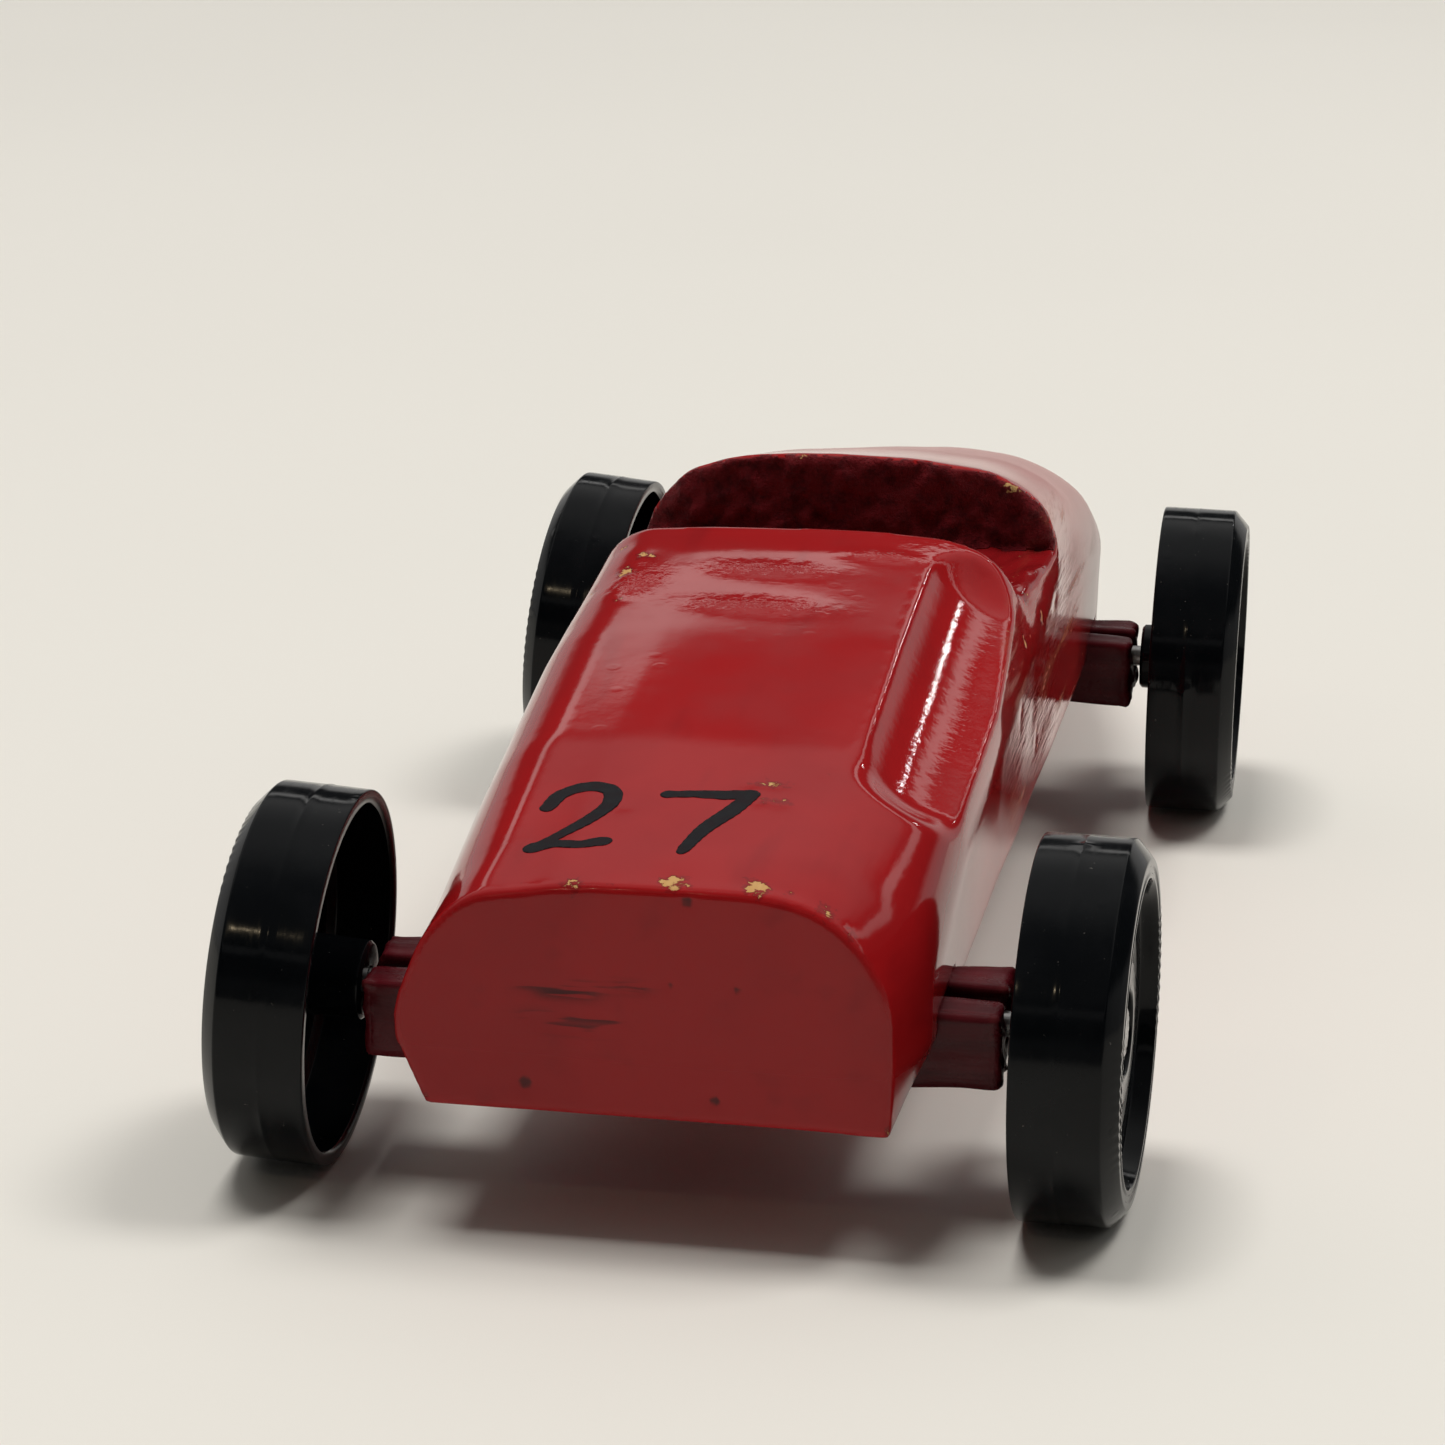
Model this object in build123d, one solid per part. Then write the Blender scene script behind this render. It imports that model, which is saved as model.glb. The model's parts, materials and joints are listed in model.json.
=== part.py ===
from build123d import *
import os
from math import radians, degrees, sin, cos, atan2, hypot

# Hand-carved block-wood kit racing car, free rolling, painted.
# Millimetres.  +Z up, floor at Z = 0, the nose looks along -Y, +X is the
# car's left-hand side seen by a driver facing the nose (right-hand side when
# one looks at the nose).  Origin: centre of the footprint, on the floor.

# ---------------------------------------------------------------- dimensions
IN = 25.4
BLOCK_LENGTH = 7.0 * IN            # stock block length, assumed
WHEELBASE = 111.0                  # 4 3/8 in, usual for such kits, assumed
NOSE_OVERHANG = 14.3               # front axle to nose face
BODY_BOTTOM_Z = 10.3               # ground clearance of the block
WHEEL_R = 15.0                     # moulded wheel, about 1 3/16 in across
WHEEL_W = 8.3                      # overall, about 5/16 in
HUB_PROUD = 1.5                    # hub end stands out of the inner rim plane
RIM_WALL = 1.15
WEB_T = 1.3
DISH = 1.5                         # outer face of the web lies this far inside the rim
SEAT = 2.3                         # bottom of the pocket that takes the nail head
HUB_R = 3.15
NAIL_R = 1.0
BORE_R = 1.06                      # running clearance 0.06 radial
HEAD_R = 2.3
HEAD_T = 0.9
NAIL_LENGTH = 31.0
STRUT_L = {"front": 50.2, "rear": 48.6}
STRUT_D = 3 / 8 * IN               # along the car
STRUT_H = 1 / 4 * IN
STRUT_Z = {"front": 14.1, "rear": 14.2}     # strut centre height
KERF_W = 2.0
KERF_DEPTH = 3.5
STRUT_ROLL = {"front": 5.5, "rear": 0.0}    # degrees, top edge towards the nose
STRUT_TILT = {"front": -0.8, "rear": 0.0}   # degrees, -X end low
STRUT_X = {"front": 0.0, "rear": 0.5}

TRACK_IN_FRONT = 27.1              # wheel inner rim plane from the centreline
TRACK_IN_REAR = 26.4
REAR_OFFSET = 0.65                 # rear axle set sits a little to +X

# wheel set: side, axle, toe (deg), camber (deg); axis = (cos t cos c, sin t, sin c)
SET = {
    "front_left":  (-1, "front", 0.0, -3.3),
    "front_right": (+1, "front", -1.5, 0.0),
    "rear_left":   (-1, "rear", -2.0, -4.9),
    "rear_right":  (+1, "rear", 1.4, -0.6),
}

Y0 = -BLOCK_LENGTH / 2             # nose face
Y_FRONT = Y0 + NOSE_OVERHANG
Y_REAR = Y_FRONT + WHEELBASE
ZB = BODY_BOTTOM_Z
ORIGIN_SHIFT = (0.206, 0.430, 0.0)  # wheels lean a little, so the footprint's centre is moved to x = y = 0

os.makedirs("parts", exist_ok=True)


def axle_y(end):
    return Y_FRONT if end == "front" else Y_REAR


def axle_dir(toe, camber):
    t, c = radians(toe), radians(camber)
    v = Vector(cos(t) * cos(c), sin(t), sin(c))
    return v.normalized()


# ---------------------------------------------------------------- body
# Sections across the car.  s is the distance behind the front axle.  Each row:
# (s, [(x, z) x 15]) from the bottom left corner up, over the top and down.
SECTIONS = [
    (-14.3, [(-17.7, ZB), (-20.2, 15.6), (-20.3, 18.0), (-18.2, 23.6), (-16.2, 26.0), (-14.0, 27.4),
             (-6.5, 28.6), (0.0, 28.7), (8.3, 28.7), (12.0, 27.8), (14.6, 26.0), (16.8, 23.0),
             (17.9, 20.4), (18.1, 15.8), (18.0, ZB)]),
    (-8.0, [(-17.8, ZB), (-20.3, 15.6), (-20.2, 19.0), (-17.9, 24.8), (-16.0, 27.2), (-13.6, 28.9),
            (-6.5, 29.9), (0.0, 30.0), (8.0, 30.0), (13.0, 29.1), (16.4, 27.0), (18.9, 24.2),
            (20.0, 20.6), (20.2, 15.6), (17.9, ZB)]),
    (10.0, [(-17.8, ZB), (-20.3, 15.6), (-20.1, 23.4), (-18.2, 28.6), (-16.2, 31.2), (-13.4, 32.7),
            (-6.8, 33.2), (0.0, 33.2), (7.0, 33.2), (13.0, 32.8), (17.0, 31.5), (19.4, 29.4),
            (20.4, 25.5), (20.3, 15.6), (17.8, ZB)]),
    (32.0, [(-17.8, ZB), (-20.4, 15.6), (-20.2, 27.0), (-18.6, 32.0), (-16.8, 34.5), (-13.9, 36.0),
            (-7.0, 36.4), (0.0, 36.4), (7.0, 36.4), (13.2, 36.1), (17.2, 34.9), (19.8, 32.8),
            (20.6, 28.5), (20.3, 15.6), (17.8, ZB)]),
    (57.0, [(-17.8, ZB), (-20.4, 15.6), (-20.2, 29.5), (-18.4, 35.4), (-16.9, 37.8), (-14.4, 39.0),
            (-7.4, 39.5), (0.0, 39.6), (6.5, 39.6), (12.8, 39.2), (15.9, 38.2), (18.1, 35.9),
            (20.3, 30.5), (20.3, 15.6), (17.8, ZB)]),
    (74.0, [(-17.8, ZB), (-20.4, 15.6), (-19.6, 29.5), (-17.9, 34.5), (-16.9, 37.2), (-14.0, 40.3),
            (-9.5, 41.9), (-1.9, 42.5), (6.1, 42.4), (14.4, 41.5), (18.2, 39.4), (19.9, 37.2),
            (20.6, 33.0), (20.4, 15.6), (17.8, ZB)]),
    (92.0, [(-17.8, ZB), (-20.3, 15.6), (-19.6, 28.0), (-18.0, 32.4), (-16.3, 34.8), (-13.0, 37.2),
            (-8.0, 38.5), (-1.0, 39.1), (6.5, 39.4), (13.4, 38.8), (17.4, 37.1), (19.8, 34.6),
            (20.8, 30.0), (20.5, 15.6), (17.8, ZB)]),
    (111.0, [(-17.4, ZB), (-19.7, 15.6), (-19.2, 25.0), (-17.6, 29.0), (-15.5, 31.4), (-12.2, 33.3),
             (-6.8, 34.4), (0.0, 35.2), (7.4, 35.4), (12.6, 34.8), (16.7, 33.1), (19.6, 30.8),
             (20.9, 27.0), (20.5, 15.6), (17.7, ZB)]),
    (119.0, [(-17.0, ZB), (-19.1, 15.6), (-18.7, 23.6), (-17.2, 27.4), (-15.1, 29.8), (-11.8, 31.6),
             (-6.7, 32.7), (0.0, 33.4), (7.1, 33.4), (11.8, 32.8), (15.5, 31.2), (18.6, 28.9),
             (20.5, 25.2), (20.2, 15.6), (17.4, ZB)]),
    (132.0, [(-15.8, ZB), (-17.6, 14.8), (-17.2, 20.6), (-15.7, 24.2), (-13.7, 26.6), (-10.8, 28.5),
             (-6.3, 29.6), (0.0, 30.1), (6.3, 30.0), (11.0, 29.3), (14.4, 27.7), (17.0, 25.4),
             (18.8, 21.8), (18.8, 14.8), (16.4, ZB)]),
    (150.0, [(-13.4, ZB), (-14.8, 13.6), (-14.6, 17.4), (-13.4, 20.2), (-11.7, 22.2), (-9.2, 23.6),
             (-5.5, 24.3), (0.0, 24.6), (5.6, 24.5), (9.5, 23.8), (12.3, 22.4), (14.4, 20.4),
             (15.8, 17.6), (15.8, 13.6), (14.2, ZB)]),
    (163.5, [(-10.8, ZB), (-12.0, 12.6), (-11.8, 14.8), (-10.8, 16.8), (-9.2, 18.3), (-7.2, 19.3),
             (-4.3, 19.8), (0.0, 20.0), (4.5, 19.9), (7.6, 19.3), (9.8, 18.2), (11.4, 16.8),
             (12.4, 14.9), (12.5, 12.6), (11.2, ZB)]),
]


def section_face(y, pts):
    return Face(Wire.make_polygon([Vector(x, y, z) for x, z in pts], close=True))


def lofted(rows):
    faces = [section_face(Y_FRONT + s, pts) for s, pts in rows]
    return Solid.make_loft([f.outer_wire() for f in faces], True)


body = lofted(SECTIONS)

# cockpit notch: sawn down to a flat floor, rough upright seat back behind it
COCKPIT_S0, COCKPIT_S1 = 57.0, 74.0
COCKPIT_FLOOR_Z = 34.4
cut = Pos(0, Y_FRONT + (COCKPIT_S0 + COCKPIT_S1) / 2, COCKPIT_FLOOR_Z + 10) * Box(
    60, COCKPIT_S1 - COCKPIT_S0, 20)
body = body - cut

# carved flute along the +X shoulder of the hood, closed at its nose end
FLUTE_R = 10.0
FLUTE_A = (20.4, 9.5, 38.1)        # x, s, z of the flute's axis at its nose end
FLUTE_B = (20.4, 48.5, 43.6)       # and at its cockpit end


def flute():
    a, b = (Vector(x, Y_FRONT + s, z) for x, s, z in (FLUTE_A, FLUTE_B))
    d = b - a
    cyl = Solid.make_cylinder(FLUTE_R, d.length, Plane(origin=a, z_dir=d.normalized(), x_dir=Vector(1, 0, 0)))
    return cyl + Pos(a.X, a.Y, a.Z) * Sphere(FLUTE_R) + Pos(b.X, b.Y, b.Z) * Sphere(FLUTE_R)


body = body - flute()

# strut notches, open downwards; the strut beds against the notch ceiling
NOTCH = {}


def strut_frame(end):
    return Pos(STRUT_X[end], axle_y(end), STRUT_Z[end]) * Rot(0, STRUT_TILT[end], 0) * Rot(STRUT_ROLL[end], 0, 0)


for end in ("front", "rear"):
    top = STRUT_H / 2
    deep = 12.0
    n = strut_frame(end) * Pos(0, 0, top - deep / 2) * Box(60, STRUT_D, deep)
    body = body - n

body.label = "body"

# ---------------------------------------------------------------- struts and nails
nails = []
struts = {}
wheels = {}


def wheel_pivot(key):
    side, end, toe, camber = SET[key]
    base = TRACK_IN_FRONT if end == "front" else TRACK_IN_REAR
    off = 0.0 if end == "front" else REAR_OFFSET
    ax = axle_dir(toe, camber)
    # lowest point of the tread touches the floor: check both tread edges
    c = radians(camber)
    outward = ax.Z * side
    drop_in = 0.0
    drop_out = outward * TREAD_W
    z = WHEEL_R * cos(c) - min(drop_in, drop_out)
    return Vector(side * base + off, axle_y(end), z), ax * side


TREAD_W = 7.0


def wheel_profile():
    """Half section in (axial a, radius r); a = 0 is the inner rim plane, + is outwards."""
    R = WHEEL_R
    ri = R - RIM_WALL
    w = WHEEL_W
    return [
        (0.25, R), (TREAD_W, R), (TREAD_W + 0.85, R - 0.95), (w, R - 1.5), (w, R - 3.0),
        (w - DISH, R - 3.3), (w - DISH, 6.0), (w - 1.0, 5.4), (w - 1.0, HEAD_R + 1.0),
        (w - SEAT, HEAD_R + 0.9), (w - SEAT, BORE_R),
        (-HUB_PROUD, BORE_R), (-HUB_PROUD, HUB_R - 0.25), (-HUB_PROUD + 0.25, HUB_R),
        (w - DISH - WEB_T - 0.3, HUB_R + 0.15), (w - DISH - WEB_T, HUB_R + 0.6),
        (w - DISH - WEB_T, ri - 0.9), (w - DISH - WEB_T - 0.7, ri - 0.1),
        (0.0, ri), (0.0, R - 0.25),
    ]


def wheel_solid():
    prof = wheel_profile()
    # local frame: X along the axle outwards, revolve about X
    face = Face(Wire.make_polygon([Vector(a, r, 0) for a, r in prof], close=True))
    return revolve(face, Axis.X, 360)


def to_axis(shape, origin, direction):
    d = direction.normalized()
    up = Vector(0, 0, 1)
    x = d
    y = up.cross(x).normalized()
    pl = Plane(origin=origin, x_dir=x, z_dir=x.cross(y).normalized())
    return shape.moved(pl.location)


for key in SET:
    side, end, toe, camber = SET[key]
    piv, out = wheel_pivot(key)
    w = to_axis(wheel_solid(), piv, out)
    wheels[key] = w
    # nail: shank from the head seat towards the centreline
    head_a = WHEEL_W - SEAT + 0.25         # under-head face, axial play in front of the hub
    shank = Solid.make_cylinder(NAIL_R, NAIL_LENGTH, Plane(origin=Vector(head_a, 0, 0), z_dir=Vector(-1, 0, 0)))
    head = Solid.make_cylinder(HEAD_R, HEAD_T, Plane(origin=Vector(head_a, 0, 0), z_dir=Vector(1, 0, 0)))
    nail = shank + head
    nail = to_axis(nail, piv, out)
    nails.append(nail)

for end in ("front", "rear"):
    s = Box(STRUT_L[end], STRUT_D, STRUT_H)
    s = fillet(s.edges().filter_by(Axis.X), 0.5)
    s = fillet(s.edges().filter_by(Axis.Y), 0.9)
    kerf = Pos(0, 0, STRUT_H / 2 - KERF_DEPTH / 2 + 0.5) * Box(STRUT_L[end] + 2, KERF_W, KERF_DEPTH + 1.0)
    s = strut_frame(end) * (s - kerf)
    for n in nails[:2] if end == "front" else nails[2:]:
        s = s - n                      # each nail has pressed its own bed into the wood
    struts[end] = s
    print("strut", end, len(s.solids()), round(s.volume, 1))

# ---------------------------------------------------------------- write the nodes
home = Pos(*ORIGIN_SHIFT)
for end, s in struts.items():
    export_step(home * s, f"parts/strut_{end}.step")
export_step(home * body, "parts/body.step")
export_step(Compound(children=[home * n for n in nails]), "parts/axle_nails.step")
for key, w in wheels.items():
    export_step(home * w, f"parts/wheel_{key}.step")
for key in SET:
    piv, out = wheel_pivot(key)
    piv = piv + Vector(*ORIGIN_SHIFT)
    print("wheel", key, "pivot", [round(v, 4) for v in (piv.X, piv.Y, piv.Z)],
          "axis", [round(v, 6) for v in (out.X, out.Y, out.Z)])
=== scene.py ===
import bpy, math, json
import numpy as np
from mathutils import Vector, Matrix

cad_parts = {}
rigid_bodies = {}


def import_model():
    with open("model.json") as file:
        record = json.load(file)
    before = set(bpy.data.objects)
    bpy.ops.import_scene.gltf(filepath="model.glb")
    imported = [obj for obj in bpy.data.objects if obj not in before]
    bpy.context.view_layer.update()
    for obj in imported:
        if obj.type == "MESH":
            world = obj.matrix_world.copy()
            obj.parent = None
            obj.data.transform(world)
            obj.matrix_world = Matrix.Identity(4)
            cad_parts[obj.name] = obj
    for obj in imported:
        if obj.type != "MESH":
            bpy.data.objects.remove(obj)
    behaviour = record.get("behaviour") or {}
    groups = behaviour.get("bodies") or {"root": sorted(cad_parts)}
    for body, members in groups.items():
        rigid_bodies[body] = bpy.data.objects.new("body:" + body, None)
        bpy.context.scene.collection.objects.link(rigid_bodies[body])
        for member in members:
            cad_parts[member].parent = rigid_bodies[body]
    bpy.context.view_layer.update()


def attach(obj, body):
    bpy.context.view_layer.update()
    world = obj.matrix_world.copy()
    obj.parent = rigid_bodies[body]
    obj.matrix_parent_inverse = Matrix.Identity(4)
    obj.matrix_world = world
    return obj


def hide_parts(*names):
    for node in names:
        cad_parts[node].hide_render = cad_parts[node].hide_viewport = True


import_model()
MM = 0.001

# ------------------------------------------------------------------ camera
az, el, roll = math.radians(9.8028), math.radians(15.9839), math.radians(0.7526)
fw = Vector((-math.sin(az) * math.cos(el), math.cos(az) * math.cos(el), -math.sin(el)))
cr = fw.cross(Vector((0, 0, 1))).normalized()
cu = cr.cross(fw)
r2 = cr * math.cos(roll) + cu * math.sin(roll)
u2 = cu * math.cos(roll) - cr * math.sin(roll)
cam_data = bpy.data.cameras.new("camera")
cam = bpy.data.objects.new("camera", cam_data)
bpy.context.scene.collection.objects.link(cam)
M = Matrix.Identity(4)
for i in range(3):
    M[i][0], M[i][1], M[i][2] = r2[i], u2[i], -fw[i]
M[0][3], M[1][3], M[2][3] = 0.06125, -0.41340, 0.13640
cam.matrix_world = M
cam_data.sensor_width = 36.0
cam_data.lens = 116.39
cam_data.clip_start, cam_data.clip_end = 0.01, 50.0
bpy.context.scene.camera = cam
bpy.context.scene.view_settings.view_transform = "Standard"
bpy.context.scene.view_settings.look = "None"


# ------------------------------------------------------------------ mesh helpers
def waves(seed, n, wl, amp, aniso=(1, 1, 1)):
    """A smooth random field: n sine waves of wavelength about wl (mm)."""
    rng = np.random.default_rng(seed)
    k = rng.normal(size=(n, 3))
    k /= np.linalg.norm(k, axis=1, keepdims=True)
    k *= 2 * np.pi / (wl * rng.uniform(0.7, 1.45, (n, 1))) / np.array(aniso)
    ph = rng.uniform(0, 2 * np.pi, n)
    a = amp * math.sqrt(2.0 / n)

    def f(p):
        out = np.zeros(len(p))
        for kk, q in zip(k, ph):
            out += np.sin(p @ kk + q)
        return out * a

    return f


def smax(a, b, k):
    h = np.maximum(k - np.abs(a - b), 0) / k
    return np.maximum(a, b) + h * h * k * 0.25


def smin(a, b, k):
    return -smax(-a, -b, k)


def surface_nets(F, o, h):
    """Quads round the negative region of the sampled field F."""
    neg = F < 0
    nx, ny, nz = F.shape
    corner = [(i, j, k) for i in (0, 1) for j in (0, 1) for k in (0, 1)]
    sl = {c: (slice(c[0], nx - 1 + c[0]), slice(c[1], ny - 1 + c[1]), slice(c[2], nz - 1 + c[2])) for c in corner}
    cnt = sum(neg[sl[c]].astype(np.int8) for c in corner)
    act = (cnt > 0) & (cnt < 8)
    ids = -np.ones(act.shape, np.int64)
    ids[act] = np.arange(act.sum())
    vals = {c: F[sl[c]][act] for c in corner}
    base = np.argwhere(act).astype(float)
    acc = np.zeros((len(base), 3))
    num = np.zeros(len(base))
    for a in corner:
        for ax in range(3):
            if a[ax]:
                continue
            b = list(a); b[ax] = 1; b = tuple(b)
            fa, fb = vals[a], vals[b]
            x = (fa < 0) != (fb < 0)
            t = np.where(x, fa / np.where(x, fa - fb, 1), 0)
            p = np.array(a, float)[None, :].repeat(len(base), 0)
            p[:, ax] += t
            acc[x] += p[x]
            num[x] += 1
    V = (base + acc / num[:, None]) * np.array(h) + np.array(o)
    quads = []
    for ax in range(3):
        b, c = (ax + 1) % 3, (ax + 2) % 3
        lo = [slice(1, -1)] * 3; lo[ax] = slice(0, -1)
        hi = [slice(1, -1)] * 3; hi[ax] = slice(1, None)
        s0, s1 = neg[tuple(lo)], neg[tuple(hi)]
        for flip, mask in ((False, s0 & ~s1), (True, ~s0 & s1)):
            g = np.argwhere(mask)
            g[:, b] += 1
            g[:, c] += 1
            q = []
            for db, dc in ((-1, -1), (0, -1), (0, 0), (-1, 0)):
                e = g.copy(); e[:, b] += db; e[:, c] += dc
                q.append(ids[e[:, 0], e[:, 1], e[:, 2]])
            q = np.stack(q, 1)
            quads.append(q[:, ::-1] if flip else q)
    Q = np.concatenate(quads)
    Q = Q[(Q >= 0).all(1)]
    return V, Q


def grad(f, V, e=0.06):
    g = np.zeros_like(V)
    for ax in range(3):
        d = np.zeros(3); d[ax] = e
        g[:, ax] = (f(V + d) - f(V - d)) / (2 * e)
    return g


def project(V, f, steps, cap):
    for _ in range(steps):
        g = grad(f, V)
        n2 = np.maximum((g * g).sum(1), 0.05)
        s = f(V) / n2
        step = g * s[:, None]
        ln = np.linalg.norm(step, axis=1)
        step *= (np.minimum(ln, cap) / np.maximum(ln, 1e-9))[:, None]
        V = V - step
    return V


def neighbours(nv, Q):
    a = np.concatenate([Q[:, 0], Q[:, 1], Q[:, 2], Q[:, 3]])
    b = np.concatenate([Q[:, 1], Q[:, 2], Q[:, 3], Q[:, 0]])
    a, b = np.concatenate([a, b]), np.concatenate([b, a])
    deg = np.maximum(np.bincount(a, minlength=nv), 1)

    def mean(X):
        return np.stack([np.bincount(a, X[b, i], minlength=nv) for i in range(X.shape[1])], 1) / deg[:, None]

    return mean


def field_mesh(f, lo, hi, h, noise=None, relax=3):
    """Mesh of f + noise = 0 in mm."""
    ax = [np.arange(lo[i], hi[i] + h[i], h[i]) for i in range(3)]
    G = np.stack(np.meshgrid(*ax, indexing="ij"), -1).reshape(-1, 3)
    F = np.empty(len(G))
    for i in range(0, len(G), 400000):
        F[i:i + 400000] = f(G[i:i + 400000])
    full = f
    if noise is not None:
        near = np.abs(F) < 1.2
        F[near] += noise(G[near])
        full = lambda p: f(p) + noise(p)
    V, Q = surface_nets(F.reshape([len(a) for a in ax]), lo, h)
    del G, F
    V = project(V, full, 2, 0.5 * min(h))
    mean = neighbours(len(V), Q)
    for _ in range(relax):
        g = grad(full, V)
        g /= np.maximum(np.linalg.norm(g, axis=1, keepdims=True), 1e-9)
        d = mean(V) - V
        d -= g * (d * g).sum(1, keepdims=True)
        V = project(V + 0.5 * d, full, 1, 0.5 * min(h))
    g = grad(full, V)
    g /= np.maximum(np.linalg.norm(g, axis=1, keepdims=True), 1e-9)
    curv = -((mean(V) - V) * g).sum(1)
    for _ in range(2):
        curv = 0.5 * curv + 0.5 * mean(curv[:, None])[:, 0]
    return V, Q, g, curv


def make_object(name, V, faces, attrs=None, body=None, smooth=True):
    """V in model millimetres."""
    me = bpy.data.meshes.new(name)
    V = np.asarray(V, float)
    if isinstance(faces, np.ndarray):
        me.vertices.add(len(V))
        me.vertices.foreach_set("co", (V * MM).astype(np.float32).ravel())
        n, w = faces.shape
        me.loops.add(n * w)
        me.loops.foreach_set("vertex_index", faces.astype(np.int32).ravel())
        me.polygons.add(n)
        me.polygons.foreach_set("loop_start", (np.arange(n) * w).astype(np.int32))
        me.polygons.foreach_set("loop_total", np.full(n, w, np.int32))
        me.update(calc_edges=True)
        me.validate()
    else:
        me.from_pydata([tuple(v * MM) for v in V], [], faces)
        me.validate()
    me.polygons.foreach_set("use_smooth", np.full(len(me.polygons), smooth))
    for k, a in (attrs or {}).items():
        at = me.attributes.new(k, "FLOAT", "POINT")
        at.data.foreach_set("value", np.asarray(a, np.float32))
    me.update()
    ob = bpy.data.objects.new(name, me)
    bpy.context.scene.collection.objects.link(ob)
    if body:
        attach(ob, body)
    return ob


# ------------------------------------------------------------------ body
SX, SS = 0.206, -74.17          # section x and s to model X and Y
ZB = 10.3
SECTIONS = [
    (-14.3, [(-17.7, ZB), (-20.2, 15.6), (-20.3, 18.0), (-18.2, 23.6), (-16.2, 26.0), (-14.0, 27.4),
             (-6.5, 28.6), (0.0, 28.7), (8.3, 28.7), (12.0, 27.8), (14.6, 26.0), (16.8, 23.0),
             (17.9, 20.4), (18.1, 15.8), (18.0, ZB)]),
    (-8.0, [(-17.8, ZB), (-20.3, 15.6), (-20.2, 19.0), (-17.9, 24.8), (-16.0, 27.2), (-13.6, 28.9),
            (-6.5, 29.9), (0.0, 30.0), (8.0, 30.0), (13.0, 29.1), (16.4, 27.0), (18.9, 24.2),
            (20.0, 20.6), (20.2, 15.6), (17.9, ZB)]),
    (10.0, [(-17.8, ZB), (-20.3, 15.6), (-20.1, 23.4), (-18.2, 28.6), (-16.2, 31.2), (-13.4, 32.7),
            (-6.8, 33.2), (0.0, 33.2), (7.0, 33.2), (13.0, 32.8), (17.0, 31.5), (19.4, 29.4),
            (20.4, 25.5), (20.3, 15.6), (17.8, ZB)]),
    (32.0, [(-17.8, ZB), (-20.4, 15.6), (-20.2, 27.0), (-18.6, 32.0), (-16.8, 34.5), (-13.9, 36.0),
            (-7.0, 36.4), (0.0, 36.4), (7.0, 36.4), (13.2, 36.1), (17.2, 34.9), (19.8, 32.8),
            (20.6, 28.5), (20.3, 15.6), (17.8, ZB)]),
    (57.0, [(-17.8, ZB), (-20.4, 15.6), (-20.2, 29.5), (-18.4, 35.4), (-16.9, 37.8), (-14.4, 39.0),
            (-7.4, 39.5), (0.0, 39.6), (6.5, 39.6), (12.8, 39.2), (15.9, 38.2), (18.1, 35.9),
            (20.3, 30.5), (20.3, 15.6), (17.8, ZB)]),
    (74.0, [(-17.8, ZB), (-20.4, 15.6), (-19.6, 29.5), (-17.9, 34.5), (-16.9, 37.2), (-14.0, 40.3),
            (-9.5, 41.9), (-1.9, 42.5), (6.1, 42.4), (14.4, 41.5), (18.2, 39.4), (19.9, 37.2),
            (20.6, 33.0), (20.4, 15.6), (17.8, ZB)]),
    (92.0, [(-17.8, ZB), (-20.3, 15.6), (-19.6, 28.0), (-18.0, 32.4), (-16.3, 34.8), (-13.0, 37.2),
            (-8.0, 38.5), (-1.0, 39.1), (6.5, 39.4), (13.4, 38.8), (17.4, 37.1), (19.8, 34.6),
            (20.8, 30.0), (20.5, 15.6), (17.8, ZB)]),
    (111.0, [(-17.4, ZB), (-19.7, 15.6), (-19.2, 25.0), (-17.6, 29.0), (-15.5, 31.4), (-12.2, 33.3),
             (-6.8, 34.4), (0.0, 35.2), (7.4, 35.4), (12.6, 34.8), (16.7, 33.1), (19.6, 30.8),
             (20.9, 27.0), (20.5, 15.6), (17.7, ZB)]),
    (119.0, [(-17.0, ZB), (-19.1, 15.6), (-18.7, 23.6), (-17.2, 27.4), (-15.1, 29.8), (-11.8, 31.6),
             (-6.7, 32.7), (0.0, 33.4), (7.1, 33.4), (11.8, 32.8), (15.5, 31.2), (18.6, 28.9),
             (20.5, 25.2), (20.2, 15.6), (17.4, ZB)]),
    (132.0, [(-15.8, ZB), (-17.6, 14.8), (-17.2, 20.6), (-15.7, 24.2), (-13.7, 26.6), (-10.8, 28.5),
             (-6.3, 29.6), (0.0, 30.1), (6.3, 30.0), (11.0, 29.3), (14.4, 27.7), (17.0, 25.4),
             (18.8, 21.8), (18.8, 14.8), (16.4, ZB)]),
    (150.0, [(-13.4, ZB), (-14.8, 13.6), (-14.6, 17.4), (-13.4, 20.2), (-11.7, 22.2), (-9.2, 23.6),
             (-5.5, 24.3), (0.0, 24.6), (5.6, 24.5), (9.5, 23.8), (12.3, 22.4), (14.4, 20.4),
             (15.8, 17.6), (15.8, 13.6), (14.2, ZB)]),
    (163.5, [(-10.8, ZB), (-12.0, 12.6), (-11.8, 14.8), (-10.8, 16.8), (-9.2, 18.3), (-7.2, 19.3),
             (-4.3, 19.8), (0.0, 20.0), (4.5, 19.9), (7.6, 19.3), (9.8, 18.2), (11.4, 16.8),
             (12.4, 14.9), (12.5, 12.6), (11.2, ZB)]),
]
DS = 0.25
SJ = np.arange(-18, 168, DS)
_st = np.array([r[0] for r in SECTIONS])
_pt = np.array([r[1] for r in SECTIONS])
TAB = np.empty((len(SJ), 15, 2))
for i in range(15):
    for c in range(2):
        TAB[:, i, c] = np.interp(SJ, _st, _pt[:, i, c])
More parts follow.
